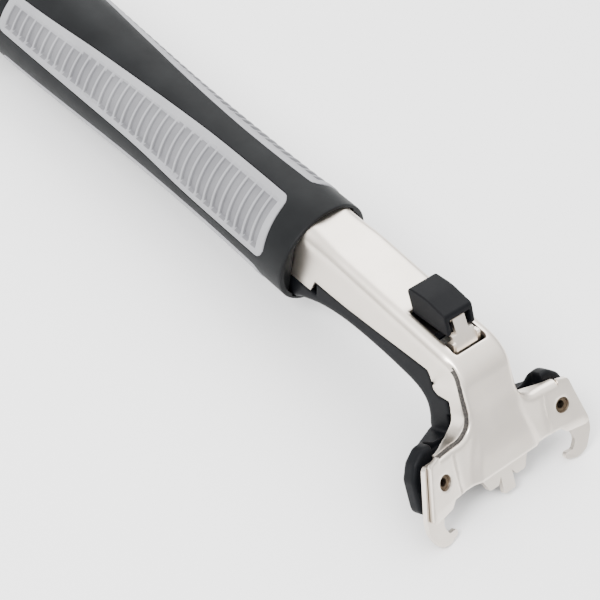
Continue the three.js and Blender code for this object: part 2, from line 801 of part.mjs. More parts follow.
function gripBody() {
  const rim = turned(
    [[0, 0], [COLLAR_RADIUS - 1, 0], [COLLAR_RADIUS - 0.3, 0.25], [COLLAR_RADIUS, 0.7],
      [COLLAR_RADIUS - 0.1, 3], [0, 3]],
    new THREE.Vector3(), Y, 52);
  let body = gripCore(0).add(rim);
  for (const spec of inserts) {
    body = body.subtract(insertPrism(spec, GAP).subtract(gripCore(INSERT_DEPTH + GAP)));
  }
  const tailRoom = gripEntry(GAP).intersect(
    sideSlab([[-1, -13.7], [30, -13.7], [30, 16], [-1, 16]],
      -NECK_HALF_WIDTH - GAP, NECK_HALF_WIDTH + GAP));
  const half = TANG_HALF_WIDTH + GAP;
  const height = TANG_HALF_HEIGHT + GAP;
  const end = TANG_END + GAP;
  const tangRoom = sideSlab([[0, -height], [end, -height], [end, height], [0, height]], -half, half);
  return body
    .subtract(tailRoom)
    .subtract(tangRoom)
    .subtract(crossBar(TANG_PIN_RADIUS + GAP, TANG_PIN_HALF + GAP + 0.1, TANG_PIN))
    .subtract(bar(SPIGOT_RADIUS + GAP, 130, GRIP_END + 2, new THREE.Vector3(), Y, 20));
}

function endCap() {
  const start = GRIP_END + GAP;
  const profile = [
    [0, start],
    [18.9, start],
    [18.9, start + 3],
    [18, start + 10],
    [15.8, start + 16],
    [12, start + 20],
    [7, BUTT_END - 0.4],
    [0, BUTT_END],
  ];
  const spigot = bar(SPIGOT_RADIUS, GRIP_END - SPIGOT_LENGTH, start + 1, new THREE.Vector3(), Y, 20);
  return turned(profile, new THREE.Vector3(), Y, 48)
    .add(spigot)
    .subtract(crossBar(HANG_RADIUS, 30, HANG_HOLE));
}

// ---- The assembly -----------------------------------------------------------------------------

piece("neck_shell", neckShell(), nickel);
piece("under_cover", underCover(), blackPlastic);
piece("hook_plate", hookPlate(), nickel);
piece("latch_plate", latchPlate(), nickel);
piece("rivet_left", rivet(-1), bronze);
piece("rivet_right", rivet(1), bronze);
piece("slide_carrier", slideCarrier(), nickel);
piece("thumb_cap", thumbCap(), blackPlastic);
piece("guide_pin", guidePin(), steel);
piece("return_spring", returnSpring(), steel);
piece("guide_bracket", guideBracket(), steel);
piece("slot_liner", slotLiner(), blackPlastic);
piece("tang", tang(), steel);
piece("tang_pin", crossBar(TANG_PIN_RADIUS, TANG_PIN_HALF, TANG_PIN), steel);
piece("cover_screw_front", coverScrew(COVER_SCREWS[0]), steel);
piece("cover_screw_rear", coverScrew(COVER_SCREWS[1]), steel);
piece("grip_body", gripBody(), gripBlack);
inserts.forEach((spec) => piece(spec.name, insert(spec), softGrey));
piece("end_cap", endCap(), gripBlack);

// The frame's origin is the middle of the footprint, on the ground.
const bounds = new THREE.Box3().setFromObject(tool, true);
const middle = bounds.getCenter(new THREE.Vector3());
tool.position.set(-middle.x, -middle.y, -bounds.min.z);

export default tool;
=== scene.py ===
"""Looks of a hook-head hand tool: ribbed two-colour grip, stamped nickel neck, thumb slide.

Shapes are worked out in the tool's own axes, in millimetres: the origin is the centre of the
grip's front rim, +Y runs along the grip to its butt and +Z points to the thumb slide.
Head axes are x across, s down the face and n from the face's outer surface inwards.
TOOL carries tool axes to the frame's metres.
"""

import math

import bmesh
import bpy
from mathutils import Matrix, Vector, noise
from mathutils.geometry import delaunay_2d_cdt


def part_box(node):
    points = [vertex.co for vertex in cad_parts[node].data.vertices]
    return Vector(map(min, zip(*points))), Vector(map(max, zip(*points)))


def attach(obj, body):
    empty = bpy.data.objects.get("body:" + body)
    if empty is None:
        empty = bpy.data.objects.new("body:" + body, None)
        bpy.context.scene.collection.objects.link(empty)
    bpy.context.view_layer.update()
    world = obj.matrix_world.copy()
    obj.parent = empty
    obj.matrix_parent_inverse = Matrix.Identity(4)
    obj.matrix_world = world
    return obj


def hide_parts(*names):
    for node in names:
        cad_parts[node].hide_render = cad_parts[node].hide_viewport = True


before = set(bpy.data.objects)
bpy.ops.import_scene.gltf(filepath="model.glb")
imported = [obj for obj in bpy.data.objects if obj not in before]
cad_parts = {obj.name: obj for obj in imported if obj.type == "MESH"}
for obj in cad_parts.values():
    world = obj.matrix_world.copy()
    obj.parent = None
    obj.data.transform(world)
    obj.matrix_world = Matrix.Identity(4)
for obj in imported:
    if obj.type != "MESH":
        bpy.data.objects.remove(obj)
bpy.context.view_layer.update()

# ---- Driving dimensions, millimetres -----------------------------------------------------

TILT = math.radians(2.932)
PIN_AT = Vector((0, -57, 3))  # middle of the slide's guide pin

SHEET = 1.5
NECK_HALF_WIDTH = 10.6
RIDGE = 4.0  # radius of the neck's long edges
TAIL_RIDGE = 5.4  # the same where the neck enters the grip
TAIL_BLEND = (22, 8)  # distances from the neck's tail between which one radius becomes the other
SEAM = 2.3  # width of the pressed seam beside the face
NECK_TOP = 15.0  # z of the neck's top, carried on to y = 0
NECK_SLOPE = 0.052
TAIL = 5.8  # y of the neck's end inside the grip
FACE_ANGLE = math.radians(59.15)
FACE_BEND = 14.0  # radius between face and neck
FACE_BOTTOM = 7.0  # s
WING_TOP = -8.3  # s
WING_FILLET = 6.0
WING_SWEEP = math.tan(math.radians(8))
FLANGE_END = 25.0  # x
CREASE = 19.4  # x of the scored line between the face and a wing
CREASE_HALF = 0.35
CREASE_STOPS = (0.4, 3.5, 6.5, 9.5, 12.8)  # distances up from the face's lower edge
RIVET_X = 25.0
RIVET_RADIUS = 2.55

PANEL_GROWS = (-14, 2)  # s over which the face's pressed shape grows to its full depth
PANEL_SPREADS = (-9, 7)  # s over which the middle panel widens
PANEL_HALF_WIDTH = (9.0, 12.4)
PANEL_RISE = 0.85
PANEL_FLANK = (1.1, 1.5)  # how far the panel's flank reaches in and out from its edge
VALLEY_DEPTH = 0.35
VALLEY_FLANK = 2.5
WING_FLANK = 2  # where the valley runs out before the crease
SCORE_DEPTH = 0.3
SCORE_STARTS = (-8, -6)  # s

WALL_FOOT = -14.3  # s where the side wall ends and a wing's flange begins
FLANGE_DEPTH = (7.2, 3.0)  # at FLANGE_START and at FLANGE_END
FLANGE_START = 12.0  # x
FACE_WALL = 13.6  # deepest that the wall may be beside the face and the bend
NECK_WALL = (5.0, 22.0)  # shallowest and deepest along the neck
WALL_ROWS = 6
CUT_EDGE = 0.00018  # rounding of the sheet's cut edges, in metres
GAP_FACES = (4, 5, 6)  # faces across the fold that lie in the seam's gap, where shade is painted on the left
SEAM_LOW = 9  # z under which the gap is painted with shade beside the bend too
RAGGED = 0.14  # how far the gap's edges wander
RAGGED_SCALE = 0.9
RAGGED_PLANE = 3.0  # place in the noise that the wander is read from

SLOT_FRONT = -62.1  # y
SLOT_FRONT_HALF_WIDTH = 6.2
SLOT_SHOULDER = -57.6  # y from which the slot has its full width
SLOT_HALF_WIDTH = 8.2
SLOT_REAR = -42  # y

GRIP_END = 148.0  # y
GRIP_RIM = [(0, 0), (16.9, 0.0), (17.3, 0.12), (17.48, 0.4)]  # (radius, y) of the rounded front rim
GRIP_RADII = (
    (0.6, 17.5), (12, 17.35), (30, 16.95), (50, 16.8),
    (75, 17.0), (100, 17.75), (125, 18.55), (148, 18.84),
)
BORE = 16.6  # radius of the room in the grip's front
LIP = 15.9  # inner radius of the rim round it
LIP_DEPTH = 1.8
BORE_DEPTH = 6.3
BORE_HALF_WIDTH = 10.95
BORE_FLOOR = -13.8  # z
BORE_TOP = 16.4  # z

INSERT_REAR = 142.0  # y
INSERT_CORNER = 3.2
INSERT_PROUD = 0.36  # height of an insert's flat border over the grip
EDGE_DROP = 0.45
EDGE_ROUND = 0.6
BORDER = (2.6, 3.0)  # distances from the outline between which the sunk field starts
FIELD_DEPTH = 0.75
FIELD_SLOPE = 0.7  # how much deeper the field is at its lower edge
RIB_PITCH = 3.7
RIB_START = 2.0
RIB_ROWS = 14  # rows of the mesh for each rib
RIB_FLANK = (0.28, 0.7)  # distances from a rib's middle between which it falls away
RIB_HEIGHT = 0.85  # part of the field's depth
SUNK = 0.2  # depth under the grip's surface below which an insert is painted darker as shade

BUTT_GAP = 0.3  # between the grip and the end cap
BUTT_FRONT_RADIUS = 18.4
BUTT_RADIUS = 18.84
BUTT_STRAIGHT = 3
BUTT_FULLNESS = 0.62  # below 1 makes the dome squarer than a half circle
BUTT_BACK = 169.7  # y
HOLE_AT = 160  # y
HOLE_RADIUS = 4


def box_middle(node):
    low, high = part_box(node)
    return (Vector(low) + Vector(high)) / 2


TURN = Matrix.Rotation(-TILT, 4, "X") @ Matrix.Scale(0.001, 4)
TOOL = Matrix.Translation(box_middle("guide_pin") - TURN @ PIN_AT) @ TURN

DOWN_FACE = Vector((0, -math.cos(FACE_ANGLE), -math.sin(FACE_ANGLE)))
INTO_FACE = Vector((0, math.sin(FACE_ANGLE), -math.cos(FACE_ANGLE)))
HEAD_ORIGIN = Vector((0, -81.04, -13.4))


def head_point(x, s, n):
    return HEAD_ORIGIN + Vector((x, 0, 0)) + s * DOWN_FACE + n * INTO_FACE


def smoothstep(low, high, value):
    k = min(max((value - low) / (high - low), 0.0), 1.0)
    return k * k * (3 - 2 * k)


def mix(a, b, k):
    return a + (b - a) * k


def through(points, x):
    """A smooth curve (Catmull-Rom) through (x, value) points."""
    last = len(points) - 1
    i = max(0, min(last - 1, sum(1 for p in points if p[0] <= x) - 1))
    (x0, y0), (x1, y1) = points[i], points[i + 1]
    before = points[max(i - 1, 0)]
    after = points[min(i + 2, last)]
    k = min(max((x - x0) / (x1 - x0), 0.0), 1.0)
    slope0 = (y1 - before[1]) / (x1 - before[0]) * (x1 - x0)
    slope1 = (after[1] - y0) / (after[0] - x0) * (x1 - x0)
    k2, k3 = k * k, k * k * k
    return (
        (2 * k3 - 3 * k2 + 1) * y0
        + (k3 - 2 * k2 + k) * slope0
        + (3 * k2 - 2 * k3) * y1
        + (k3 - k2) * slope1
    )


# ---- Mesh helpers ----------------------------------------------------------------------------

# Degrees between two faces from which the edge between them stays sharp
SHEET_SHARP = 50
TURNED_SHARP = 35
INSERT_SHARP = 55
MOULDED_SHARP = 60


def new_object(name, mesh):
    piece = bpy.data.objects.new(name, mesh)
    bpy.context.scene.collection.objects.link(piece)
    return piece


def mesh_from(name, bm, smooth_angle=40):
    """A new object from a bmesh in tool millimetres, smooth except at sharp edges."""
    bm.transform(TOOL)
    mesh = bpy.data.meshes.new(name)
    bm.to_mesh(mesh)
    bm.free()
    piece = new_object(name, mesh)
    smooth(piece, smooth_angle)
    return piece


def smooth(piece, angle):
    bm = bmesh.new()
    bm.from_mesh(piece.data)
    for face in bm.faces:
        face.smooth = True
    limit = math.radians(angle)
    for edge in bm.edges:
        edge.smooth = len(edge.link_faces) == 2 and edge.calc_face_angle(0) < limit
    bm.to_mesh(piece.data)
    bm.free()


def settle(piece):
    """Replaces a piece's mesh by what its modifiers make of it."""
    bpy.context.view_layer.update()
    shaped = piece.evaluated_get(bpy.context.evaluated_depsgraph_get())
    mesh = bpy.data.meshes.new_from_object(shaped)
    piece.modifiers.clear()
    piece.data = mesh


def cut(piece, cutter):
    boolean = piece.modifiers.new("cut", "BOOLEAN")
    boolean.operation = "DIFFERENCE"
    boolean.solver = "EXACT"
    boolean.object = cutter
    settle(piece)
    bpy.data.objects.remove(cutter)


def softened(name, node, voxel, rounds):
    """A copy of a CAD node with its edges rounded off, as moulding leaves them."""
    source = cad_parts[node]
    bm = bmesh.new()
    bm.from_mesh(source.data)
    bmesh.ops.remove_doubles(bm, verts=bm.verts, dist=1e-6)
    mesh = bpy.data.meshes.new(name)
    bm.to_mesh(mesh)
    bm.free()
    piece = new_object(name, mesh)
    remesh = piece.modifiers.new("skin", "REMESH")
    remesh.mode = "VOXEL"
    remesh.voxel_size = voxel * 0.001
    ease = piece.modifiers.new("ease", "SMOOTH")
    ease.factor = 0.5
    ease.iterations = rounds
    settle(piece)
    smooth(piece, MOULDED_SHARP)
    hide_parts(node)
    return piece


def bevelled(piece, width):
    """Rounds a carried-over CAD node's edges a little."""
    weld = piece.modifiers.new("weld", "WELD")
    weld.merge_threshold = 1e-6
    bevel = piece.modifiers.new("edges", "BEVEL")
    bevel.width = width * 0.001
    bevel.segments = 2
    bevel.limit_method = "ANGLE"
    bevel.angle_limit = math.radians(35)
    bevel.harden_normals = True
    bevel.use_clamp_overlap = True


# ---- Materials ---------------------------------------------------------------------------------


class Look:
    """A small material builder round one Principled shader."""

    def __init__(self, name, metallic=0.0):
        self.material = bpy.data.materials.new(name)
        self.material.use_nodes = True
        self.tree = self.material.node_tree
        self.shader = self.tree.nodes["Principled BSDF"]
        self.shader.inputs["Metallic"].default_value = metallic
        self.place = self.tree.nodes.new("ShaderNodeTexCoord").outputs["Object"]

    def noise(self, scale, detail):
        node = self.tree.nodes.new("ShaderNodeTexNoise")
        node.inputs["Scale"].default_value = scale
        node.inputs["Detail"].default_value = detail
        self.tree.links.new(self.place, node.inputs["Vector"])
        return node.outputs["Fac"]

    def colour(self, value, stops):
        """Base colour from a value, blended between two (position, colour) stops."""
        node = self.tree.nodes.new("ShaderNodeValToRGB")
        for element, (position, colour) in zip(node.color_ramp.elements, stops):
            element.position = position
            element.color = (*colour, 1)
        self.tree.links.new(value, node.inputs["Fac"])
        self.tree.links.new(node.outputs["Color"], self.shader.inputs["Base Color"])

    def rough(self, value, low, high):
        node = self.tree.nodes.new("ShaderNodeMapRange")
        node.inputs["To Min"].default_value = low
        node.inputs["To Max"].default_value = high
        self.tree.links.new(value, node.inputs["Value"])
        self.tree.links.new(node.outputs["Result"], self.shader.inputs["Roughness"])

    def bump(self, value, height, strength):
        node = self.tree.nodes.new("ShaderNodeBump")
        node.inputs["Strength"].default_value = strength
        node.inputs["Distance"].default_value = height
        self.tree.links.new(value, node.inputs["Height"])
        self.tree.links.new(node.outputs["Normal"], self.shader.inputs["Normal"])


def nickel_look():
    look = Look("satin_nickel", metallic=1.0)
    look.colour(look.noise(60, detail=4), [(0.3, (0.72, 0.655, 0.58)), (0.7, (0.81, 0.74, 0.66))])
    look.rough(look.noise(140, detail=5), low=0.28, high=0.39)
    look.bump(look.noise(2600, detail=2), height=0.00002, strength=0.35)
    return look.material


def steel_look():
    look = Look("plain_steel", metallic=1.0)
    look.colour(look.noise(90, detail=4), [(0.3, (0.42, 0.41, 0.39)), (0.7, (0.55, 0.54, 0.52))])
    look.rough(look.noise(300, detail=4), low=0.32, high=0.5)
    look.bump(look.noise(1800, detail=2), height=0.00002, strength=0.4)
    return look.material


# Bronze tone for the rivets, darkened far below real bronze as painted shade for their place deep in the
# holes.
def shaded_bronze_look():
    look = Look("bronze_darkened_as_shade", metallic=1.0)
    look.colour(look.noise(700, detail=4), [(0.3, (0.05, 0.037, 0.025)), (0.7, (0.13, 0.1, 0.07))])
    look.rough(look.noise(900, detail=3), low=0.4, high=0.65)
    look.bump(look.noise(1500, detail=2), height=0.00003, strength=0.5)
    return look.material


def black_look(name, dark, light, rough_low, rough_high):
    look = Look(name)
    look.colour(look.noise(55, detail=4), [(0.3, dark), (0.7, light)])
    look.rough(look.noise(260, detail=4), low=rough_low, high=rough_high)
    look.bump(look.noise(3200, detail=2), height=0.00003, strength=0.5)
    look.shader.inputs["Specular IOR Level"].default_value = 0.08
    return look.material


def soft_grey_look(name, dark, light):
    look = Look(name)
    look.colour(look.noise(70, detail=4), [(0.3, dark), (0.7, light)])
    look.shader.inputs["Specular IOR Level"].default_value = 0.25
    look.rough(look.noise(320, detail=4), low=0.5, high=0.68)
    look.bump(look.noise(3600, detail=2), height=0.00003, strength=0.45)
    return look.material


# Near-black paint for the seam's gap: painted shade standing in for the shadow and dark reflection in the
# crease.
def seam_shade_look():
    look = Look("seam_painted_shade")
    look.colour(look.noise(1500, detail=4), [(0.35, (0.012, 0.011, 0.01)), (0.65, (0.06, 0.052, 0.045))])
    look.rough(look.noise(2000, detail=3), low=0.6, high=0.9)
    look.bump(look.noise(3000, detail=3), height=0.00008, strength=0.8)
    return look.material


NICKEL = nickel_look()
STEEL = steel_look()
SHADED_BRONZE = shaded_bronze_look()
# The next look is painted shade for the seam's gap.
SEAM_SHADE = seam_shade_look()
BLACK = black_look("black_moulding", (0.0025, 0.0028, 0.0036), (0.005, 0.0054, 0.0066), 0.36, 0.5)
GRIP_BLACK = black_look("grip_black", (0.0065, 0.007, 0.0075), (0.011, 0.0118, 0.0125), 0.42, 0.55)
GREY = soft_grey_look("soft_grey", (0.25, 0.25, 0.263), (0.29, 0.29, 0.303))
# A darker copy of the soft grey for the inserts' sunk groove floors: painted shade.
GREY_SHADED_FLOOR = soft_grey_look("soft_grey_painted_shade", (0.14, 0.14, 0.15), (0.19, 0.19, 0.2))


def dress(piece, *looks):
    if piece.data.materials:
        piece.data.materials.clear()
    for look in looks:
        piece.data.materials.append(look)


# ---- Neck shell: one sheet, laid out flat and carried round the bend ------------------------

WALL_EDGE = [
    (12, -5.2), (-9, -4.6), (-8.1, -0.1), (-22, 0.3), (-36.6, 1.4), (-47.1, 2.3), (-56.2, 3.0),
    (-57.8, 1.4), (-59.9, -2.3), (-62.1, -2.9), (-66, -1.6), (-67.3, -3.9), (-68.4, -6.1), (-69.3, -8.6),
]


class SheetPath:
    """The sheet's outer surface in side view. t is the distance up it from the face's lower edge."""

    def __init__(self):
        slope = math.atan(NECK_SLOPE)
        turn = FACE_ANGLE - slope
        base = head_point(0, FACE_BOTTOM, 0)
        rise = math.tan(FACE_ANGLE)
        corner_y = (NECK_TOP - base.z + rise * base.y) / (rise - NECK_SLOPE)
        corner = Vector((0, corner_y, NECK_TOP + NECK_SLOPE * corner_y))
        tangent = FACE_BEND * math.tan(turn / 2)
        self.base = base
        self.arc_start = (corner - base).length - tangent
        self.arc_end = self.arc_start + FACE_BEND * turn
        self.neck_start = corner + tangent * Vector((0, math.cos(slope), math.sin(slope)))
        self.centre = base - self.arc_start * DOWN_FACE + FACE_BEND * INTO_FACE
        self.slope = slope
        self.length = self.arc_end + (TAIL - self.neck_start.y) / math.cos(slope)

    def at(self, t):
        """(point, inward direction) at distance t."""
        if t <= self.arc_start:
            return self.base - t * DOWN_FACE, INTO_FACE.copy()
        if t >= self.arc_end:
            along = Vector((0, math.cos(self.slope), math.sin(self.slope)))
            inward = Vector((0, math.sin(self.slope), -math.cos(self.slope)))
            return self.neck_start + (t - self.arc_end) * along, inward
        angle = FACE_ANGLE - (t - self.arc_start) / FACE_BEND
        inward = Vector((0, math.sin(angle), -math.cos(angle)))
        return self.centre - FACE_BEND * inward, inward


PATH = SheetPath()


def t_of(s):
    """Distance t up the sheet of a place s down the face."""
    return FACE_BOTTOM - s


def fold_width(t):
    """How far the fold reaches out from the flat: a narrow seam on the face, a ridge on the neck."""
    starts, ends = (PATH.length - distance for distance in TAIL_BLEND)
    ridge = mix(RIDGE, TAIL_RIDGE, smoothstep(starts, ends, t))
    return mix(SEAM, ridge, smoothstep(PATH.arc_start - 1, PATH.arc_end + 1, t))


def face_relief(x, t):
    """Height of the face's pressed shape, inwards: a raised middle panel, valleys and swept wings."""
    wide = abs(x)
    s = FACE_BOTTOM - t
    grown = smoothstep(*PANEL_GROWS, s)
    edge = mix(*PANEL_HALF_WIDTH, smoothstep(*PANEL_SPREADS, s))
    flank_in, flank_out = PANEL_FLANK
    panel = -PANEL_RISE * grown * (1 - smoothstep(edge - flank_in, edge + flank_out, wide))
    outer = 1 - smoothstep(CREASE - WING_FLANK, CREASE, wide)
    valley = VALLEY_DEPTH * grown * smoothstep(edge, edge + VALLEY_FLANK, wide) * outer
    wing = -WING_SWEEP * max(wide - CREASE, 0.0)
    score = SCORE_DEPTH * max(1 - abs(wide - CREASE) / CREASE_HALF, 0.0) * smoothstep(*SCORE_STARTS, s)
    return panel + valley + wing + score


def on_sheet(x, t):
    point, inward = PATH.at(t)
    level = face_relief(x, t) if t < PATH.arc_start else 0.0
    return point + Vector((x, 0, 0)) + level * inward


def wall_depth(x, t):
    """Depth of the side wall or flange below the sheet's outer surface."""
    if t < t_of(WALL_FOOT):
        return mix(*FLANGE_DEPTH, smoothstep(FLANGE_START, FLANGE_END, abs(x)))
    point, inward = PATH.at(t)
    shallowest, deepest = NECK_WALL
    best = FACE_WALL if t < PATH.arc_end + 3 else deepest
    for (y0, z0), (y1, z1) in zip(WALL_EDGE, WALL_EDGE[1:]):
        ey, ez = y1 - y0, z1 - z0
        cross = inward.y * ez - inward.z * ey
        if abs(cross) < 1e-9:
            continue
        reach = ((y0 - point.y) * ez - (z0 - point.z) * ey) / cross
        along = ((y0 - point.y) * inward.z - (z0 - point.z) * inward.y) / cross
        if 0 <= along <= 1 and 2 < reach < best:
            best = reach
    if t > PATH.arc_end:
        return max(best, shallowest)
    return best


def resampled(points, step):
    """The same open line with points no further apart than step."""
    line = [points[0]]
    for start, end in zip(points, points[1:]):
        count = max(1, math.ceil((end - start).length / step))
        line += [start.lerp(end, k / count) for k in range(1, count + 1)]
    return line


def rounded(corners, steps=6):
    """An open line through (x, y, radius) corners, with arcs of the radius at them."""
    points = [Vector(corners[0][:2])]
    for before, (x, y, radius), after in zip(corners, corners[1:], corners[2:]):
        corner = Vector((x, y))
        if not radius:
            points.append(corner)
            continue
        back = (Vector(before[:2]) - corner).normalized()
        ahead = (Vector(after[:2]) - corner).normalized()
        half = back.angle(ahead) / 2
        centre = corner + (back + ahead).normalized() * (radius / math.sin(half))
        arm = corner + back * (radius / math.tan(half)) - centre
        turn = arm.angle_signed(corner + ahead * (radius / math.tan(half)) - centre)
        points += [centre + Matrix.Rotation(-turn * k / steps, 2) @ arm for k in range(steps + 1)]
    points.append(Vector(corners[-1][:2]))
    return points


def fold_line():
    """Right-hand edge of the flat, from the flange's end up to the neck's tail, as (x, t)."""
    low = WING_TOP + SEAM
    side = NECK_HALF_WIDTH - SEAM
    radius = WING_FILLET + SEAM
    bend = rounded([
        (FLANGE_END, t_of(low), 0),
        (side, t_of(low), radius),
        (side, PATH.arc_start - 2, 0),
    ], 12)
    line = resampled(bend, 0.7)
    count = math.ceil((PATH.length - PATH.arc_start + 2) / 0.9)
    for k in range(1, count + 1):
        t = mix(PATH.arc_start - 2, PATH.length, k / count)
        line.append(Vector((NECK_HALF_WIDTH - fold_width(t), t)))
    return line


def free_line():
    """Right-hand edge from the middle of the face's bottom round the wing to the flange's end."""
    corners = [
        (0, t_of(FACE_BOTTOM), 0),
        (22.6, t_of(FACE_BOTTOM), 0.8),
        (24.6, t_of(8.9), 1.5),
        (28.2, t_of(9.3), 3),
        (31.8, t_of(9.6), 0.8),
        (33.3, t_of(8.8), 0.7),
        (29, t_of(-7.4), 1.5),
        (25.6, t_of(WING_TOP), 0.4),
        (FLANGE_END + 0.1, t_of(WING_TOP), 0),
        (FLANGE_END, t_of(WING_TOP + SEAM), 0),
    ]
    return resampled(rounded(corners), 0.8)


def flip(points):
    return [Vector((-p.x, p.y)) for p in points]


def inside(point, loop):
    odd = False
    for a, b in zip(loop, loop[1:] + loop[:1]):
        if (a.y > point.y) != (b.y > point.y):
            if point.x < a.x + (point.y - a.y) / (b.y - a.y) * (b.x - a.x):
                odd = not odd
    return odd


def rivet_hole(side):
    """The hole for a wing's rivet on the flat sheet, as points round it."""
    count = 28
    points = []
    for k in range(count):
        turn = 2 * math.pi * k / count
        x = side * RIVET_X + RIVET_RADIUS * math.cos(turn)
        points.append(Vector((x, t_of(0) + RIVET_RADIUS * math.sin(turn))))
    return points


def slot_loop():
    """The slot on the flat sheet, found from its y on the neck's top."""

    def t_at(y):
        if y > PATH.neck_start.y:
            return PATH.arc_end + (y - PATH.neck_start.y) / math.cos(PATH.slope)
        return PATH.arc_end - FACE_BEND * math.asin((PATH.neck_start.y - y) / FACE_BEND)

    half = rounded([
        (0, t_at(SLOT_FRONT), 0),
        (SLOT_FRONT_HALF_WIDTH, t_at(SLOT_FRONT), 0.9),
        (SLOT_HALF_WIDTH, t_at(SLOT_SHOULDER), 2),
        (SLOT_HALF_WIDTH, t_at(SLOT_REAR), 1),
        (0, t_at(SLOT_REAR), 0),
    ], 5)
    return resampled(half + flip(half)[::-1][1:-1], 0.8)


def on_flat(point, outline, holes):
    return inside(point, outline) and not any(inside(point, hole) for hole in holes)


def crease_lines():
    """Three lines close together along each scored crease, so that the mesh can follow it."""
    lines = []
    for side in (-1, 1):
        for offset in (-CREASE_HALF, 0, CREASE_HALF):
            lines.append([Vector((side * (CREASE + offset), t)) for t in CREASE_STOPS])
    return lines


def fill_points(outline, holes, rim):
    """Points in staggered rows over the flat, clear of its rim and of the creases."""
    row_height = 0.866  # of triangles with sides of 1 mm
    reach = 34
    clearance = 0.5
    points = []
    for row in range(1, int(PATH.length / row_height)):
        t = row * row_height
        for column in range(-reach, reach + 1):
            spot = Vector((column + 0.5 * (row % 2), t))
            if not on_flat(spot, outline, holes):
                continue
            if abs(abs(spot.x) - CREASE) < 2 * CREASE_HALF:
                continue
            if all((spot - p).length_squared > clearance**2 for p in rim):
                points.append(spot)
    return points


def sheet_flat(outline, holes):
    """Points and triangles filling the flat sheet's outline outside its holes."""
    points = []
    edges = []
    for loop in [outline] + holes:
        first = len(points)
        points += loop
        edges += [(first + k, first + (k + 1) % len(loop)) for k in range(len(loop))]
    filling = fill_points(outline, holes, points)
    for line in crease_lines():
        first = len(points)
        points += line
        edges += [(first + k, first + k + 1) for k in range(len(line) - 1)]
    spots, _, faces, *_ = delaunay_2d_cdt(points + filling, edges, [], 0, 1e-5)
    kept = []
    for face in faces:
        middle = sum((spots[i] for i in face), Vector((0, 0))) / 3
        if on_flat(middle, outline, holes):
            kept.append(face)
    return spots, kept


def fold_profile(width, seam, wobble):
    """(outward, depth) points across the fold: a plain ridge, or the face's rim, gap and wall."""
    turns = [k * math.pi / 16 for k in range(1, 9)]
    plain = [(width * math.sin(turn), width * (1 - math.cos(turn))) for turn in turns]
    edge = RAGGED * wobble
    pressed = [
        (0.45, 0.04), (0.85, 0.15), (1.2, 0.38), (1.42 + edge, 0.8), (1.3 + edge, 1.5),
        (2.0 - edge, 1.7), (2.2, 1.95), (SEAM, 2.4),
    ]
    return [(mix(a[0], b[0], seam), mix(a[1], b[1], seam)) for a, b in zip(plain, pressed)]


def fold_rows(bm, fold, side):
    """Rows of vertices across the fold and down the wall or flange under it, along the flat's edge."""
    rows = []
    for i, p in enumerate(fold):
        before = fold[max(i - 1, 0)]
        after = fold[min(i + 1, len(fold) - 1)]
        along = (after - before).normalized()
        outward = Vector((along.y, -along.x))
        t = p.y
        seam = 1 - smoothstep(PATH.arc_start + 3, PATH.arc_end - 2, t) if side < 0 else 0.0
        wobble = noise.noise(Vector((p.x * RAGGED_SCALE, t * RAGGED_SCALE, RAGGED_PLANE)))
        profile = fold_profile(fold_width(t), seam, wobble)
        bottom = wall_depth(p.x + outward.x, t)
        width, start = profile[-1]
        wall = [(width, mix(start, bottom, k / WALL_ROWS)) for k in range(1, WALL_ROWS + 1)]
        base = face_relief(p.x, t) if t < PATH.arc_start else 0.0
        row = []
        for reach, depth in [(0.0, 0.0)] + profile + wall:
            spot = p + outward * reach
            point, inward = PATH.at(spot.y)
            row.append(bm.verts.new(point + Vector((side * spot.x, 0, 0)) + (depth + base) * inward))
        rows.append(row)
    return rows


def fold_faces(bm, rows, side):
    """Faces between the rows. On the left, those in the seam's gap take the second look, a near-black
    painted shade for the dark gap.
    """
    front = PATH.centre.y - 3
    rear = PATH.neck_start.y - 5
    for row, following in zip(rows, rows[1:]):
        for k in range(len(row) - 1):
            face = bm.faces.new((row[k], row[k + 1], following[k + 1], following[k]))
            middle = sum((v.co for v in face.verts), Vector()) / 4
            seam_here = (middle.y < front or middle.z < SEAM_LOW) and middle.y < rear
            # These faces are painted with the seam's shade.
            if side < 0 and k in GAP_FACES and seam_here:
                face.material_index = 1


def neck_shell():
    fold = fold_line()
    right = free_line() + fold[1:]
    outline = right + flip(right)[::-1][:-1]
    spots, faces = sheet_flat(outline, [slot_loop(), rivet_hole(-1), rivet_hole(1)])
    bm = bmesh.new()
    placed = [bm.verts.new(on_sheet(p.x, p.y)) for p in spots]
    for face in faces:
        bm.faces.new([placed[i] for i in face])
    for side in (-1, 1):
        fold_faces(bm, fold_rows(bm, fold, side), side)
    bmesh.ops.remove_doubles(bm, verts=bm.verts, dist=0.01)
    bmesh.ops.recalc_face_normals(bm, faces=bm.faces)
    top = max(bm.faces, key=lambda f: f.calc_center_median().z)
    if top.normal.z < 0:
        bmesh.ops.reverse_faces(bm, faces=bm.faces)
    piece = mesh_from("neck_shell_skin", bm, SHEET_SHARP)
    # The second look is painted shade for the seam's gap.
    dress(piece, NICKEL, SEAM_SHADE)
    thick = piece.modifiers.new("sheet", "SOLIDIFY")
    thick.thickness = SHEET * 0.001
    thick.offset = -1
    settle(piece)
    smooth(piece, SHEET_SHARP)
    edges = piece.modifiers.new("edges", "BEVEL")
    edges.width = CUT_EDGE
    edges.segments = 2
    edges.limit_method = "ANGLE"
    edges.angle_limit = math.radians(60)
    settle(piece)
    smooth(piece, SHEET_SHARP)
    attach(piece, "frame")
    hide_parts("neck_shell")


# ---- Grip: turned body, pockets, ribbed inserts and butt -----------------------------------


def grip_radius(y):
    return through(GRIP_RADII, y)


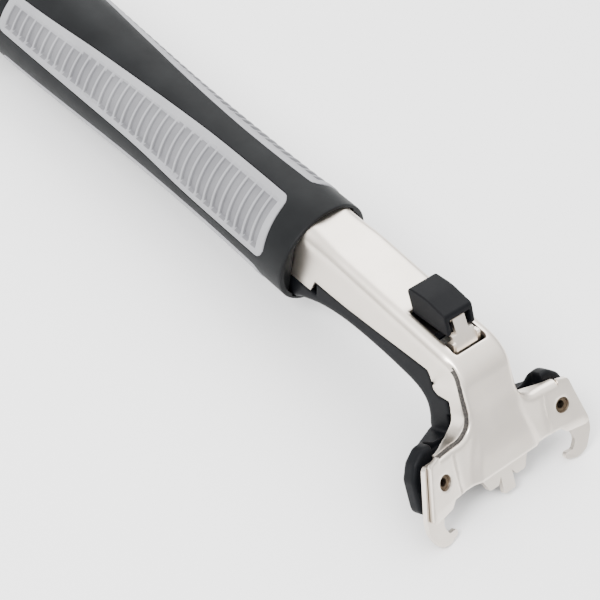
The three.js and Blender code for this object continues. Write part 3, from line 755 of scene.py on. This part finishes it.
def turned(name, profile, count):
    """A solid of revolution about the grip's axis from (radius, y) points that start and end on it."""
    bm = bmesh.new()
    rings = []
    for radius, y in profile[1:-1]:
        angles = [2 * math.pi * k / count for k in range(count)]
        rings.append([bm.verts.new((radius * math.sin(a), y, radius * math.cos(a))) for a in angles])
    for ring, following in zip(rings, rings[1:]):
        for k in range(count):
            j = (k + 1) % count
            bm.faces.new((ring[k], ring[j], following[j], following[k]))
    for (_, y), ring, turn in ((profile[0], rings[0], 1), (profile[-1], rings[-1], -1)):
        middle = bm.verts.new((0, y, 0))
        for k in range(count):
            bm.faces.new((middle, ring[(k + turn) % count], ring[k]))
    bmesh.ops.recalc_face_normals(bm, faces=bm.faces)
    return mesh_from(name, bm, TURNED_SHARP)


def border(grid):
    """The vertices round a grid's outside, in order."""
    far_side = [row[-1] for row in grid[1:]]
    near_side = [row[0] for row in grid[-2:0:-1]]
    return grid[0] + far_side + grid[-1][-2::-1] + near_side


class Insert:
    """One grey insert: its middle direction, and its edges as smooth lines along the grip."""

    def __init__(self, node, side, angle, upper, lower, front):
        self.node = node
        self.side = side
        self.angle = math.radians(angle)
        self.upper = upper
        self.lower = lower
        self.front = front

    def place(self, share, w, grow):
        """(y, turn, rim) of the place `share` along and w across; rim is its distance to the outline."""
        first = mix(*self.front, w) - grow
        last = INSERT_REAR + grow
        y = mix(first, last, share)
        end = min(y - first, last - y)
        corner = INSERT_CORNER + grow
        shrink = corner - math.sqrt(max(corner**2 - max(corner - end, 0) ** 2, 0))
        top = through(self.upper, y) - grow + shrink
        low = through(self.lower, y) + grow - shrink
        v = mix(top, low, w)
        radius = grip_radius(min(y, GRIP_END))
        turn = self.angle + math.asin(max(min(v / radius, 1), -1))
        return y, turn, min(v - top, low - v, end)

    def solid(self, name, grow, height, depth, rows, columns):
        """A closed mesh over the insert's outline, from `depth` under the grip to height(...) over it."""
        bm = bmesh.new()
        outer = []
        inner = []
        for i in range(rows + 1):
            lines = ([], [])
            along = (INSERT_REAR - self.front[0]) * i / rows
            for w in columns:
                y, turn, rim = self.place(i / rows, w, grow)
                for line, level in zip(lines, (height(along, w, rim), -depth)):
                    reach = grip_radius(min(y, GRIP_END)) + level
                    spot = (self.side * math.sin(turn) * reach, y, math.cos(turn) * reach)
                    line.append(bm.verts.new(spot))
            outer.append(lines[0])
            inner.append(lines[1])
        for grid in (outer, inner):
            for row, following in zip(grid, grid[1:]):
                for k in range(len(columns) - 1):
                    bm.faces.new((row[k], row[k + 1], following[k + 1], following[k]))
        above = border(outer)
        below = border(inner)
        for k in range(len(above)):
            j = (k + 1) % len(above)
            bm.faces.new((above[k], above[j], below[j], below[k]))
        bmesh.ops.remove_doubles(bm, verts=bm.verts, dist=0.0005)
        bmesh.ops.recalc_face_normals(bm, faces=bm.faces)
        return mesh_from(name, bm, INSERT_SHARP)


def ribbed(along, w, rim):
    """Height of an insert's surface: rounded rim, flat border, sunk field with cross ribs."""
    edge = INSERT_PROUD - EDGE_DROP * max(1 - rim / EDGE_ROUND, 0) ** 2
    field = smoothstep(*BORDER, rim)
    floor = FIELD_DEPTH + FIELD_SLOPE * w
    from_rib = abs((along - RIB_START + RIB_PITCH / 2) % RIB_PITCH - RIB_PITCH / 2)
    rib = 1 - smoothstep(*RIB_FLANK, from_rib)
    return edge - field * floor * (1 - RIB_HEIGHT * rib)


def shade_floors(piece):
    """Gives the sunk parts of an insert its darker second look, painted shade for the grooves."""
    back = TOOL.inverted()
    for face in piece.data.polygons:
        spot = back @ face.center
        if math.hypot(spot.x, spot.z) < grip_radius(min(spot.y, GRIP_END)) - SUNK:
            face.material_index = 1


def inserts():
    upper = ((9, -10.7), (45, -10.4), (62, -9.8), (100, -7.9), (125, -6.1), (142, -5.2))
    lower = ((9, 10.6), (45, 10.4), (70, 8.9), (100, 8.6), (142, 8.4))
    under_top = ((9, -7.6), (60, -7.4), (142, -7))
    under_low = ((9, 7.6), (60, 7.4), (142, 7))
    made = []
    for side, hand in ((-1, "left"), (1, "right")):
        made.append(Insert(f"insert_upper_{hand}", side, 55, upper, lower, (11.4, 9.1)))
        made.append(Insert(f"insert_lower_{hand}", side, 137, under_top, under_low, (11.0, 11.0)))
    return made


def columns_across(edge, middle):
    """Places across an insert from 0 to 1, close together over the `edge` part at either side."""
    steps = 6
    near = [k / steps * edge for k in range(steps + 1)]
    field = [mix(edge, 1 - edge, k / middle) for k in range(1, middle)]
    return near + field + [1 - k for k in reversed(near)]


def grip_body():
    steps = 90
    front = 0.9  # y just behind the rounded rim
    places = [mix(front, GRIP_END, k / steps) for k in range(steps + 1)]
    wall = [(grip_radius(y), y) for y in places]
    body = turned("grip_body_skin", GRIP_RIM + wall + [(0, GRIP_END)], count=144)
    for insert in inserts():
        pocket = insert.solid(
            "pocket",
            grow=0.22,
            height=lambda along, w, rim: 1.5,
            depth=1.95,
            rows=60,
            columns=columns_across(0.2, 8),
        )
        cut(body, pocket)
    cut(body, mouth())
    recess = [(0, -1), (LIP, -1), (LIP, LIP_DEPTH), (0, LIP_DEPTH)]
    cut(body, turned("recess", recess, count=96))
    smooth(body, TURNED_SHARP)
    dress(body, GRIP_BLACK)
    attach(body, "frame")
    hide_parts("grip_body")


def grip_inserts():
    for insert in inserts():
        piece = insert.solid(
            insert.node + "_skin",
            grow=0.0,
            height=ribbed,
            depth=1.75,
            rows=round((INSERT_REAR - insert.front[0]) / RIB_PITCH * RIB_ROWS),
            columns=columns_across(0.17, 12),
        )
        # The second look is painted shade on the grooves' sunk floors.
        dress(piece, GREY, GREY_SHADED_FLOOR)
        shade_floors(piece)
        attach(piece, "frame")
        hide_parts(insert.node)


def end_cap():
    start = GRIP_END + BUTT_GAP
    shoulder = start + BUTT_STRAIGHT
    butt = [(0, start), (BUTT_FRONT_RADIUS, start), (BUTT_RADIUS, start + 0.5)]
    for k in range(22):
        turn = math.pi / 2 * k / 22
        radius = BUTT_RADIUS * math.cos(turn) ** BUTT_FULLNESS
        butt.append((radius, shoulder + (BUTT_BACK - start - BUTT_STRAIGHT) * math.sin(turn)))
    cap = turned("end_cap_skin", butt + [(0, BUTT_BACK)], count=120)
    cut(cap, hang_hole())
    smooth(cap, TURNED_SHARP)
    dress(cap, GRIP_BLACK)
    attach(cap, "frame")
    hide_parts("end_cap")


def mouth():
    """Room in the grip's front for the neck's tail: a round bore flattened at sides, top and floor."""
    count = 96
    points = []
    for k in range(count):
        turn = 2 * math.pi * k / count
        x = min(max(BORE * math.sin(turn), -BORE_HALF_WIDTH), BORE_HALF_WIDTH)
        z = min(max(BORE * math.cos(turn), BORE_FLOOR), BORE_TOP)
        points.append((x, z))
    bm = bmesh.new()
    rings = [[bm.verts.new((x, y, z)) for x, z in points] for y in (-1, BORE_DEPTH)]
    for k in range(count):
        j = (k + 1) % count
        bm.faces.new((rings[0][k], rings[0][j], rings[1][j], rings[1][k]))
    for ring in rings:
        bm.faces.new(ring)
    bmesh.ops.remove_doubles(bm, verts=bm.verts, dist=0.0001)
    bmesh.ops.recalc_face_normals(bm, faces=bm.faces)
    return mesh_from("mouth", bm)


def hang_hole():
    bm = bmesh.new()
    bmesh.ops.create_cone(
        bm,
        cap_ends=True,
        segments=48,
        radius1=HOLE_RADIUS,
        radius2=HOLE_RADIUS,
        depth=60,
    )
    place = Matrix.Translation((0, HOLE_AT, 0)) @ Matrix.Rotation(math.pi / 2, 4, "Y")
    bmesh.ops.transform(bm, matrix=place, verts=bm.verts)
    return mesh_from("hole", bm)


# ---- Moulded and carried-over pieces ---------------------------------------------------------


def mouldings():
    cover = softened("under_cover_skin", "under_cover", voxel=0.36, rounds=9)
    dress(cover, BLACK)
    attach(cover, "frame")
    cap = softened("thumb_cap_skin", "thumb_cap", voxel=0.17, rounds=14)
    dress(cap, BLACK)
    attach(cap, "slide")


def carried_over():
    """Dresses the CAD nodes that stay, and rounds their edges by the width given, if any."""
    looks = {
        "hook_plate": (NICKEL, 0.14),
        "latch_plate": (NICKEL, 0.14),
        "slide_carrier": (NICKEL, 0.1),
        # The rivets' bronze is painted darker as shade inside their holes.
        "rivet_left": (SHADED_BRONZE, 0),
        "rivet_right": (SHADED_BRONZE, 0),
        "guide_pin": (STEEL, 0),
        "return_spring": (STEEL, 0),
        "guide_bracket": (STEEL, 0.1),
        "tang": (STEEL, 0.3),
        "tang_pin": (STEEL, 0.2),
        "cover_screw_front": (STEEL, 0.1),
        "cover_screw_rear": (STEEL, 0.1),
        "slot_liner": (BLACK, 0.15),
    }
    for node, (look, width) in looks.items():
        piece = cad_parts[node]
        dress(piece, look)
        if width:
            bevelled(piece, width)


# ---- Floor, light and camera ---------------------------------------------------------------------


def floor():
    bm = bmesh.new()
    bmesh.ops.create_grid(bm, x_segments=1, y_segments=1, size=3)
    mesh = bpy.data.meshes.new("floor")
    bm.to_mesh(mesh)
    bm.free()
    ground = new_object("floor", mesh)
    look = Look("pale_floor")
    look.shader.inputs["Roughness"].default_value = 0.9
    look.colour(look.noise(3, detail=2), [(0.3, (0.93, 0.93, 0.93)), (0.7, (0.95, 0.95, 0.95))])
    dress(ground, look.material)


def area_light(name, at, towards, size, power):
    """A square lamp, in metres and watts."""
    light = bpy.data.lights.new(name, "AREA")
    light.energy = power
    light.size = size
    lamp = bpy.data.objects.new(name, light)
    lamp.location = at
    lamp.rotation_euler = (Vector(towards) - Vector(at)).to_track_quat("-Z", "Y").to_euler()
    bpy.context.scene.collection.objects.link(lamp)


def studio():
    """A world that is brighter overhead than at the horizon, and two soft lamps."""
    world = bpy.data.worlds.new("studio")
    world.use_nodes = True
    nodes = world.node_tree.nodes
    links = world.node_tree.links
    background = nodes["Background"]
    background.inputs["Color"].default_value = (1, 1, 1, 1)
    direction = nodes.new("ShaderNodeTexCoord").outputs["Generated"]
    parts = nodes.new("ShaderNodeSeparateXYZ")
    height = nodes.new("ShaderNodeMapRange")
    height.inputs["From Min"].default_value = -0.05
    height.inputs["From Max"].default_value = 0.75
    height.inputs["To Min"].default_value = 0.6
    height.inputs["To Max"].default_value = 2.6
    links.new(direction, parts.inputs["Vector"])
    links.new(parts.outputs["Z"], height.inputs["Value"])
    links.new(height.outputs["Result"], background.inputs["Strength"])
    bpy.context.scene.world = world
    area_light("key", at=(-0.75, -0.1, 0.8), towards=(0, -0.03, 0.03), size=0.35, power=15)
    area_light("back", at=(0.6, 0.5, 0.8), towards=(0, -0.05, 0.03), size=1.0, power=11)


def camera():
    eye = TOOL @ Vector((-337.24, -292.36, 421.62))
    aim = TOOL @ Vector((0.0, 6.16, -25.88))
    roll = math.radians(-12.19)
    data = bpy.data.cameras.new("camera")
    data.lens = 120
    data.sensor_width = 36
    data.clip_start = 0.01
    lens = bpy.data.objects.new("camera", data)
    turn = (aim - eye).to_track_quat("-Z", "Y").to_matrix().to_4x4()
    lens.matrix_world = Matrix.Translation(eye) @ turn @ Matrix.Rotation(-roll, 4, "Z")
    bpy.context.scene.collection.objects.link(lens)
    bpy.context.scene.camera = lens


floor()
studio()
camera()
neck_shell()
grip_body()
grip_inserts()
end_cap()
mouldings()
carried_over()
